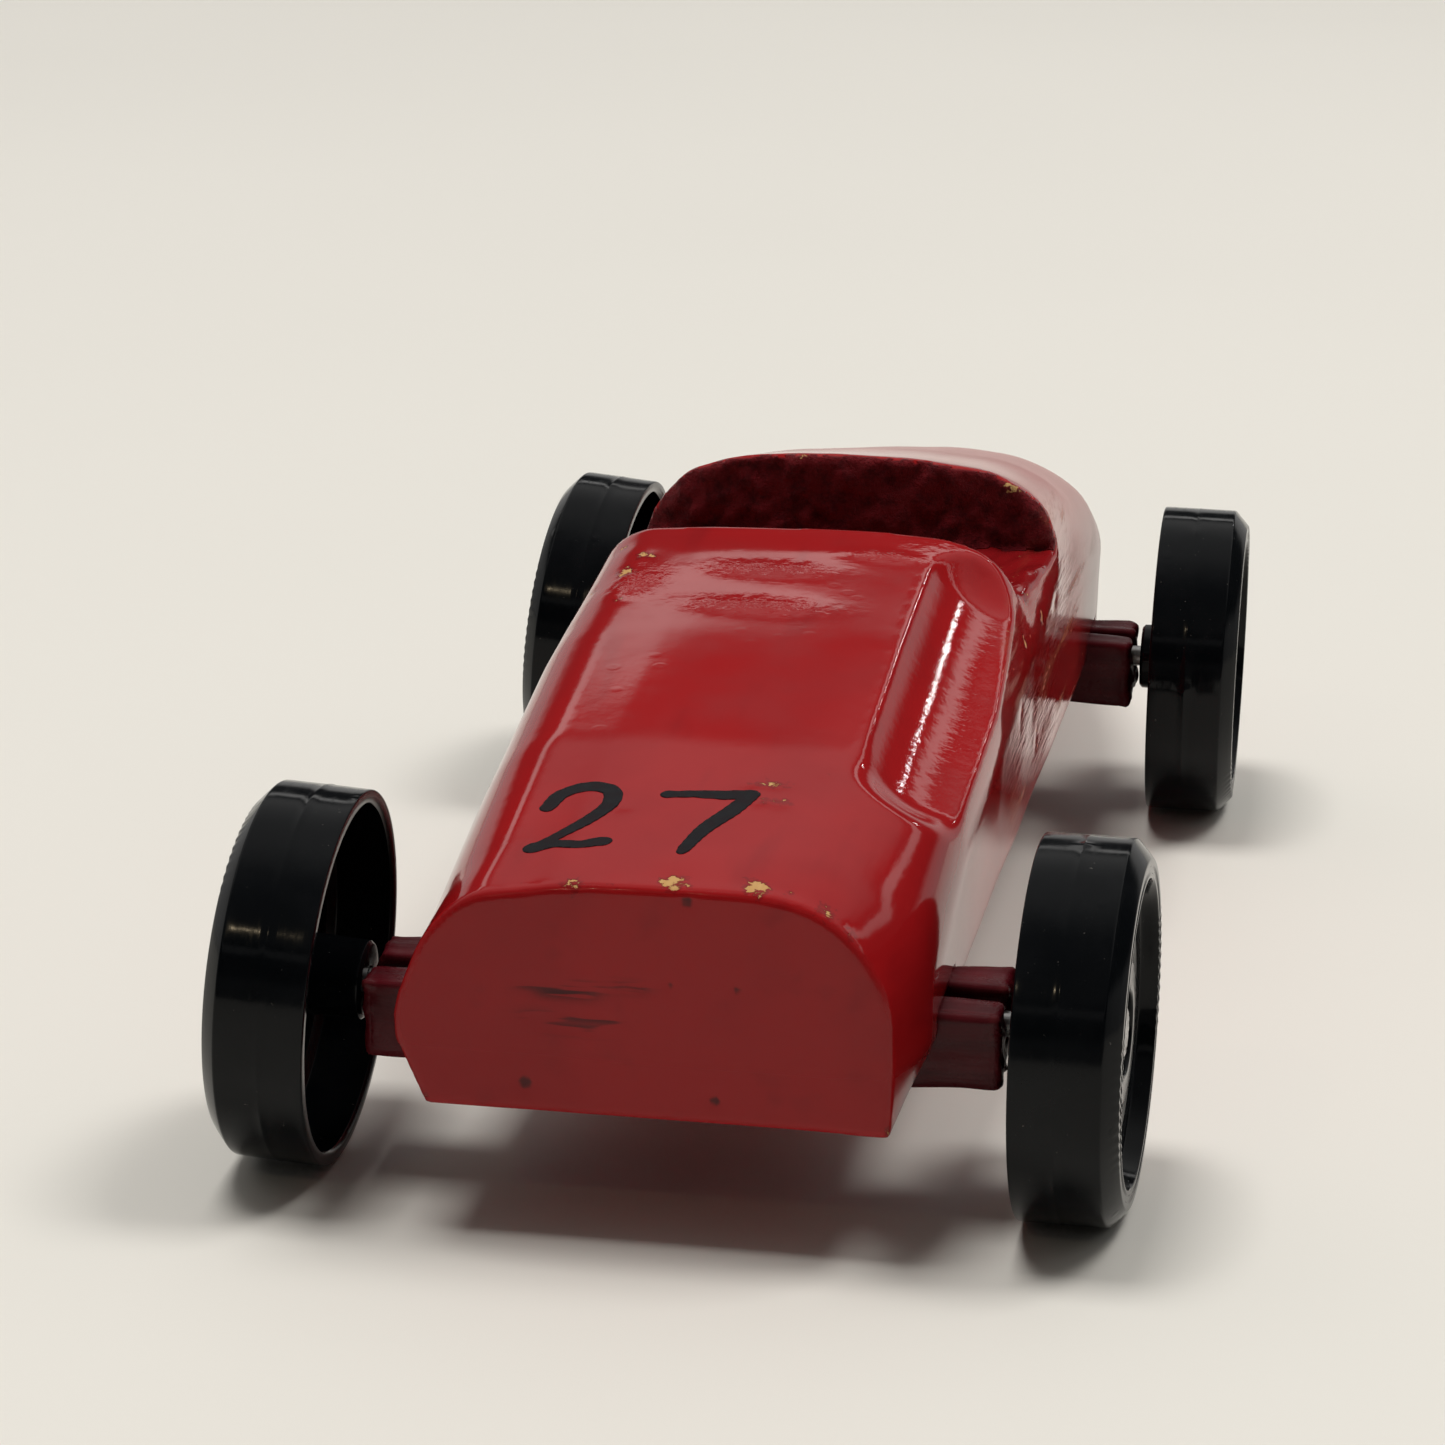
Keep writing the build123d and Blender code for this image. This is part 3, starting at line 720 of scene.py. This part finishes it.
# ------------------------------------------------------------------ material helpers
class Mat:
    def __init__(self, name):
        self.m = bpy.data.materials.new(name)
        self.m.use_nodes = True
        self.t = self.m.node_tree
        self.n = self.t.nodes
        for x_ in list(self.n):
            self.n.remove(x_)
        self.out = self.n.new("ShaderNodeOutputMaterial")
        self.p = self.n.new("ShaderNodeBsdfPrincipled")
        self.t.links.new(self.p.outputs[0], self.out.inputs[0])
        self.tc = self.n.new("ShaderNodeTexCoord")

    def link(self, a, b):
        self.t.links.new(a, b)

    def put(self, sock, v):
        if isinstance(v, (int, float)):
            sock.default_value = v
        elif isinstance(v, tuple):
            sock.default_value = v
        else:
            self.link(v, sock)

    def math(self, op, a, b=0.0, c=None, clamp=False):
        x_ = self.n.new("ShaderNodeMath"); x_.operation = op; x_.use_clamp = clamp
        self.put(x_.inputs[0], a); self.put(x_.inputs[1], b)
        if c is not None:
            self.put(x_.inputs[2], c)
        return x_.outputs[0]

    def ramp(self, v, lo, hi, a=0.0, b=1.0, smooth=True):
        x_ = self.n.new("ShaderNodeMapRange")
        x_.interpolation_type = "SMOOTHSTEP" if smooth else "LINEAR"
        self.put(x_.inputs["Value"], v)
        x_.inputs["From Min"].default_value, x_.inputs["From Max"].default_value = lo, hi
        x_.inputs["To Min"].default_value, x_.inputs["To Max"].default_value = a, b
        return x_.outputs["Result"]

    def attr(self, name):
        x_ = self.n.new("ShaderNodeAttribute"); x_.attribute_name = name
        return x_.outputs["Fac"]

    def coords(self, scale=(1, 1, 1), rot=(0, 0, 0)):
        x_ = self.n.new("ShaderNodeMapping")
        self.link(self.tc.outputs["Object"], x_.inputs["Vector"])
        x_.inputs["Scale"].default_value = scale
        x_.inputs["Rotation"].default_value = rot
        return x_.outputs["Vector"]

    def noise(self, vec, scale, detail=3.0, rough=0.5, dist=0.0):
        x_ = self.n.new("ShaderNodeTexNoise")
        self.link(vec, x_.inputs["Vector"])
        x_.inputs["Scale"].default_value = scale
        x_.inputs["Detail"].default_value = detail
        x_.inputs["Roughness"].default_value = rough
        x_.inputs["Distortion"].default_value = dist
        return x_.outputs["Fac"]

    def voronoi(self, vec, scale, rnd=1.0):
        x_ = self.n.new("ShaderNodeTexVoronoi")
        self.link(vec, x_.inputs["Vector"])
        x_.inputs["Scale"].default_value = scale
        x_.inputs["Randomness"].default_value = rnd
        return x_.outputs["Distance"]

    def mix(self, f, a, b):
        x_ = self.n.new("ShaderNodeMix"); x_.data_type = "RGBA"; x_.clamp_factor = True
        self.put(x_.inputs[0], f); self.put(x_.inputs[6], a); self.put(x_.inputs[7], b)
        return x_.outputs[2]

    def fmix(self, f, a, b):
        x_ = self.n.new("ShaderNodeMix"); x_.data_type = "FLOAT"; x_.clamp_factor = True
        self.put(x_.inputs[0], f); self.put(x_.inputs[2], a); self.put(x_.inputs[3], b)
        return x_.outputs[0]

    def bump(self, h, dist, strength=1.0, normal=None):
        x_ = self.n.new("ShaderNodeBump")
        x_.inputs["Strength"].default_value = strength
        x_.inputs["Distance"].default_value = dist
        self.link(h, x_.inputs["Height"])
        if normal is not None:
            self.link(normal, x_.inputs["Normal"])
        return x_.outputs[0]


def rgb(r, g, b):
    return (r, g, b, 1.0)


# ------------------------------------------------------------------ red brushed enamel
m = Mat("red_enamel")
co = m.coords()
brush = m.noise(m.coords((1, 0.045, 1)), 900, 3, 0.6)
brush2 = m.noise(m.coords((1, 0.12, 1)), 320, 2, 0.5)
peel = m.noise(co, 420, 2, 0.5)
grit = m.noise(co, 2600, 3, 0.65)
blot = m.noise(co, 95, 3, 0.55)
fine = m.noise(co, 1500, 4, 0.7)
rough_a, cock_a, curv_a, chip_a = m.attr("rough"), m.attr("cock"), m.attr("curv"), m.attr("chip")
flute_a = m.attr("flute")
dent_a, scr_a, drip_a, wear_a, under_a_ = m.attr("dent"), m.attr("scr"), m.attr("drip"), m.attr("wear"), m.attr("under")
base = m.mix(m.ramp(blot, 0.35, 0.68), rgb(0.330, 0.0080, 0.0095), rgb(0.295, 0.0072, 0.0088))
base = m.mix(m.ramp(brush2, 0.55, 0.8, 0, 0.35), base, rgb(0.19, 0.005, 0.007))
base = m.mix(m.math("MULTIPLY", cock_a, 0.65), base, rgb(0.16, 0.006, 0.008))
# painted shade: concave creases of the body are darkened towards a deep red
base = m.mix(m.ramp(curv_a, -0.03, -0.10, 0, 0.45), base, rgb(0.12, 0.004, 0.006))
base = m.mix(m.ramp(rough_a, 0.3, 0.7), base, m.mix(m.ramp(m.noise(co, 700, 3, 0.7), 0.4, 0.7), rgb(0.200, 0.014, 0.019), rgb(0.090, 0.006, 0.009)))
# thin paint on the worn flanks, bare wood showing through in grain streaks
streak = m.noise(m.coords((1, 0.10, 1.0)), 520, 4, 0.65)
worn = m.math("MULTIPLY", wear_a, m.ramp(streak, 0.50, 0.72), clamp=True)
base = m.mix(m.math("MULTIPLY", worn, 0.75), base, rgb(0.36, 0.13, 0.065))
# chips down to the wood
chips = m.math("ADD", m.math("MULTIPLY", chip_a, 0.62), m.math("MULTIPLY", m.ramp(curv_a, 0.035, 0.11), 0.20))
chipm = m.ramp(m.math("ADD", chips, m.math("MULTIPLY", m.noise(co, 1250, 3, 0.6, 0.4), 0.9)), 1.0, 1.06)
speck = m.math("MULTIPLY", m.ramp(m.noise(co, 1700, 2, 0.5), 0.735, 0.76), m.ramp(m.math("ADD", wear_a, m.math("MULTIPLY", cock_a, 0.8)), 0.25, 0.8))
chipm = m.math("MAXIMUM", chipm, speck)
wood = m.mix(m.noise(m.coords((1, 0.1, 1)), 2200, 2), rgb(0.50, 0.27, 0.085), rgb(0.66, 0.44, 0.19))
base = m.mix(m.math("MULTIPLY", chipm, 0.92), base, wood)
edge_dark = m.math("MULTIPLY", m.ramp(m.math("ADD", chips, m.math("MULTIPLY", m.noise(co, 1250, 3, 0.6, 0.4), 0.9)), 0.86, 0.96), 0.35)
base = m.mix(m.math("MULTIPLY", edge_dark, m.math("SUBTRACT", 1.0, chipm)), base, rgb(0.07, 0.004, 0.005))
# scratches and dents have collected dirt
base = m.mix(m.math("MULTIPLY", scr_a, m.ramp(m.noise(m.coords((0.09, 1, 1)), 1500, 2), 0.47, 0.56)), base, rgb(0.050, 0.0025, 0.004))
base = m.mix(m.ramp(dent_a, 0.45, 0.8, 0, 0.85), base, rgb(0.045, 0.003, 0.004))
m.put(m.p.inputs["Base Color"], base)
rr_ = m.fmix(m.ramp(rough_a, 0.3, 0.7), m.ramp(blot, 0.3, 0.7, 0.05, 0.10), 0.42)
rr_ = m.fmix(m.ramp(curv_a, 0.03, 0.09), rr_, 0.50)
sepo = m.n.new("ShaderNodeSeparateXYZ")
m.link(co, sepo.inputs[0])
low = m.ramp(sepo.outputs[2], 0.0175, 0.0145)
rr_ = m.fmix(m.math("MULTIPLY", low, 0.8), rr_, 0.34)
back = m.ramp(sepo.outputs[1], 0.0, 0.02)
rr_ = m.fmix(m.math("MULTIPLY", back, 0.75), rr_, 0.26)
rr_ = m.fmix(chipm, rr_, 0.7)
rr_ = m.fmix(m.math("MULTIPLY", worn, 0.8), rr_, 0.42)
m.put(m.p.inputs["Roughness"], rr_)
m.p.inputs["IOR"].default_value = 1.5
m.p.inputs["Specular IOR Level"].default_value = 0.19
m.put(m.p.inputs["Coat Weight"], m.math("MULTIPLY", m.math("SUBTRACT", 1.0, m.math("MAXIMUM", chipm, m.math("MULTIPLY", rough_a, 1.0))), 0.12))
m.p.inputs["Coat Roughness"].default_value = 0.06
h = m.math("MULTIPLY", brush, 0.07)
h = m.math("ADD", h, m.math("MULTIPLY", brush2, 0.10))
h = m.math("ADD", h, m.math("MULTIPLY", peel, 0.10))
blis = m.ramp(m.voronoi(co, 330), 0.14, 0.26, 1, 0)
h = m.math("ADD", h, m.math("MULTIPLY", blis, m.math("ADD", 0.05, m.math("MULTIPLY", cock_a, 1.2))))
h = m.math("ADD", h, m.math("MULTIPLY", m.math("MULTIPLY", drip_a, m.noise(co, 800, 3, 0.6)), 5.0))
h = m.math("ADD", h, m.math("MULTIPLY", m.math("MULTIPLY", m.ramp(rough_a, 0.2, 0.7), m.noise(co, 1700, 4, 0.75)), 22.0))
h = m.math("ADD", h, m.math("MULTIPLY", m.math("MULTIPLY", wear_a, streak), 2.6))
h = m.math("ADD", h, m.math("MULTIPLY", m.math("MULTIPLY", flute_a, m.noise(co, 750, 3, 0.6)), 0.7))
h = m.math("SUBTRACT", h, m.math("MULTIPLY", chipm, 2.6))
b1 = m.bump(h, 0.000035, 1.0)
b2 = m.bump(grit, 0.0000012, 1.0, b1)
m.put(m.p.inputs["Normal"], b2)
m.put(m.p.inputs["Coat Normal"], b1)
RED = m.m

# ------------------------------------------------------------------ marker ink
m = Mat("marker_ink")
co = m.coords()
v = m.noise(co, 700, 3, 0.6)
m.put(m.p.inputs["Base Color"], m.mix(m.ramp(v, 0.4, 0.75), rgb(0.005, 0.005, 0.007), rgb(0.018, 0.010, 0.012)))
m.p.inputs["Specular IOR Level"].default_value = 0.12
m.put(m.p.inputs["Roughness"], m.ramp(v, 0.3, 0.7, 0.32, 0.5))
m.put(m.p.inputs["Normal"], m.bump(m.noise(m.coords((1, 0.05, 1)), 900, 3, 0.6), 0.00001, 0.8))
INK = m.m

# ------------------------------------------------------------------ strut paint over wood
m = Mat("strut_enamel")
co = m.coords()
grain = m.noise(m.coords((0.10, 1, 1)), 1500, 4, 0.65)
grain2 = m.noise(m.coords((0.05, 1, 1)), 520, 3, 0.6)
lump = m.noise(co, 380, 3, 0.6)
curv_a, end_a = m.attr("curv"), m.attr("endgrain")
base = m.mix(m.ramp(grain2, 0.35, 0.7), rgb(0.105, 0.0065, 0.0115), rgb(0.060, 0.0040, 0.0070))
base = m.mix(m.ramp(lump, 0.58, 0.75, 0, 0.5), base, rgb(0.11, 0.010, 0.014))
# painted highlight: convex edges of the strut are lightened to a brighter red
base = m.mix(m.ramp(curv_a, 0.03, 0.10, 0, 0.30), base, rgb(0.17, 0.03, 0.03))
# painted shade: concave creases such as the kerf are darkened almost to black
base = m.mix(m.ramp(curv_a, -0.02, -0.08, 0, 0.8), base, rgb(0.012, 0.0015, 0.002))
m.put(m.p.inputs["Base Color"], base)
m.put(m.p.inputs["Roughness"], m.ramp(lump, 0.3, 0.7, 0.22, 0.42))
m.p.inputs["Specular IOR Level"].default_value = 0.16
m.p.inputs["Coat Weight"].default_value = 0.05
m.p.inputs["Coat Roughness"].default_value = 0.12
h = m.math("ADD", m.math("MULTIPLY", grain, 1.0), m.math("MULTIPLY", grain2, 1.6))
h = m.math("ADD", h, m.math("MULTIPLY", lump, 1.5))
h = m.math("ADD", h, m.math("MULTIPLY", m.math("MULTIPLY", end_a, m.noise(co, 1700, 4, 0.7)), 3.0))
m.put(m.p.inputs["Normal"], m.bump(h, 0.00006, 1.0))
STRUTM = m.m

# ------------------------------------------------------------------ black moulded plastic
m = Mat("black_plastic")
co = m.coords()
rad_a, ax_a = m.attr("rad"), m.attr("axial")
sc1 = m.noise(m.coords((1, 1, 1)), 160, 4, 0.6)
dust = m.noise(co, 2400, 2, 0.5)
scuff = m.noise(m.coords((6, 1, 1)), 420, 4, 0.7)
tread = m.math("MULTIPLY", m.ramp(rad_a, 14.6, 14.9), 1.0)
base = m.mix(m.ramp(sc1, 0.4, 0.7), rgb(0.0022, 0.0028, 0.0036), rgb(0.0042, 0.0048, 0.0058))
base = m.mix(m.math("MULTIPLY", m.ramp(dust, 0.74, 0.77), 0.25), base, rgb(0.20, 0.19, 0.17))
m.put(m.p.inputs["Base Color"], base)
r_ = m.ramp(sc1, 0.3, 0.7, 0.08, 0.15)
r_ = m.fmix(m.math("MULTIPLY", tread, m.ramp(scuff, 0.5, 0.75)), r_, 0.22)
m.put(m.p.inputs["Roughness"], r_)
m.p.inputs["IOR"].default_value = 1.5
m.p.inputs["Specular IOR Level"].default_value = 0.16
lathe = m.noise(m.coords((1, 0.001, 0.001)), 2600, 2, 0.6)
h = m.math("ADD", m.math("MULTIPLY", lathe, 0.12), m.math("MULTIPLY", sc1, 1.2))
h = m.math("ADD", h, m.math("MULTIPLY", scuff, 0.12))
h = m.math("ADD", h, m.math("MULTIPLY", m.ramp(m.voronoi(co, 210), 0.06, 0.14, 1, 0), 0.9))
m.put(m.p.inputs["Normal"], m.bump(h, 0.000018, 1.0))
BLACK = m.m

# ------------------------------------------------------------------ nail steel
m = Mat("nail_steel_turned")
co = m.coords()
v = m.noise(m.coords((0.15, 1, 1)), 1800, 3, 0.6)
stain = m.noise(co, 260, 4, 0.7)
base = m.mix(m.ramp(stain, 0.55, 0.72), rgb(0.46, 0.455, 0.45), rgb(0.20, 0.15, 0.12))
m.put(m.p.inputs["Base Color"], base)
m.p.inputs["Metallic"].default_value = 1.0
m.put(m.p.inputs["Roughness"], m.ramp(v, 0.3, 0.7, 0.22, 0.42))
m.put(m.p.inputs["Normal"], m.bump(v, 0.00002, 1.0))
STEEL = m.m

# ------------------------------------------------------------------ floor
m = Mat("pale_floor")
co = m.coords()
v = m.noise(co, 3.2, 3, 0.5)
m.put(m.p.inputs["Base Color"], m.mix(v, rgb(0.800, 0.774, 0.712), rgb(0.784, 0.760, 0.704)))
m.put(m.p.inputs["Roughness"], m.ramp(v, 0.3, 0.7, 0.50, 0.60))
m.put(m.p.inputs["Normal"], m.bump(m.noise(co, 260, 3, 0.6), 0.00003, 1.0))
FLOOR = m.m

for ob in bpy.data.objects:
    if ob.type != "MESH":
        continue
    mat = None
    if ob.name == "body_block": mat = RED
    elif ob.name == "hood_number": mat = INK
    elif ob.name.startswith("axle_strut_"): mat = STRUTM
    elif ob.name.startswith("wheel_moulding_"): mat = BLACK
    elif ob.name.startswith("axle_nail_"): mat = STEEL
    if mat is not None:
        ob.data.materials.clear()
        ob.data.materials.append(mat)

# ------------------------------------------------------------------ floor, lights, world
me = bpy.data.meshes.new("floor")
n = 24
fv = [(-6 + 12 * i / n, -6 + 12 * j / n, 0.0) for j in range(n + 1) for i in range(n + 1)]
ff = [(j * (n + 1) + i, j * (n + 1) + i + 1, (j + 1) * (n + 1) + i + 1, (j + 1) * (n + 1) + i) for j in range(n) for i in range(n)]
me.from_pydata(fv, [], ff)
me.materials.append(FLOOR)
floor = bpy.data.objects.new("floor", me)
bpy.context.scene.collection.objects.link(floor)


def area(name, loc, target, size, power, col, size_y=None):
    d = bpy.data.lights.new(name, "AREA")
    d.energy = power
    d.color = col
    d.shape = "RECTANGLE"
    d.size = size
    d.size_y = size_y or size
    o = bpy.data.objects.new(name, d)
    o.location = loc
    o.rotation_mode = "QUATERNION"
    o.rotation_quaternion = (Vector(target) - Vector(loc)).to_track_quat("-Z", "Y")
    bpy.context.scene.collection.objects.link(o)
    return o


key = area("key_top", (-0.42, 0.0, 2.2), (0, 0, 0), 0.80, 24.5, (1.0, 0.985, 0.965), 0.70)
key.visible_glossy = False
key2 = area("key_side", (0.85, 0.40, 1.95), (0, 0, 0), 0.70, 17.0, (1.0, 0.985, 0.965), 0.60)
key2.visible_glossy = False
area("back_right", (0.42, 1.04, 0.50), (0, 0, 0.03), 0.020, 0.08, (1.0, 0.99, 0.97), 0.05)
area("warm_front", (-0.25, -0.75, 0.62), (0, 0, 0.02), 0.035, 0.11, (1.0, 0.80, 0.52), 0.012)

world = bpy.data.worlds.new("studio")
bpy.context.scene.world = world
world.use_nodes = True
wt = world.node_tree
for x_ in list(wt.nodes):
    wt.nodes.remove(x_)
wo = wt.nodes.new("ShaderNodeOutputWorld")
bg = wt.nodes.new("ShaderNodeBackground")
tc = wt.nodes.new("ShaderNodeTexCoord")
sx = wt.nodes.new("ShaderNodeSeparateXYZ")
cr_ = wt.nodes.new("ShaderNodeValToRGB")
wt.links.new(tc.outputs["Generated"], sx.inputs[0])
wt.links.new(sx.outputs[2], cr_.inputs[0])
dim = wt.nodes.new("ShaderNodeMapRange")
dim.interpolation_type = "SMOOTHSTEP"
wt.links.new(sx.outputs[1], dim.inputs["Value"])
dim.inputs["From Min"].default_value, dim.inputs["From Max"].default_value = -0.35, 0.25
dim.inputs["To Min"].default_value, dim.inputs["To Max"].default_value = 0.22, 1.0
wt.links.new(dim.outputs["Result"], bg.inputs[1])
wt.links.new(cr_.outputs[0], bg.inputs[0])
wt.links.new(bg.outputs[0], wo.inputs[0])


def sn(deg):
    return math.sin(math.radians(deg))


stops = [(0.0, 0.50), (sn(10), 0.48), (sn(14), 0.03), (sn(26.0), 0.03), (sn(26.8), 1.25), (sn(30.0), 1.35), (sn(30.6), 0.03),
         (sn(32.0), 0.05), (sn(35.5), 0.46), (sn(39), 0.56), (sn(60), 0.50), (1.0, 0.60)]
els = cr_.color_ramp.elements
els[0].position, els[0].color = stops[0][0], rgb(*(stops[0][1] * c for c in (1.0, 0.985, 0.96)))
els[1].position, els[1].color = stops[-1][0], rgb(*(stops[-1][1] * c for c in (1.0, 0.985, 0.96)))
for p_, v_ in stops[1:-1]:
    e_ = els.new(p_)
    e_.color = rgb(*(v_ * c for c in (1.0, 0.985, 0.96)))
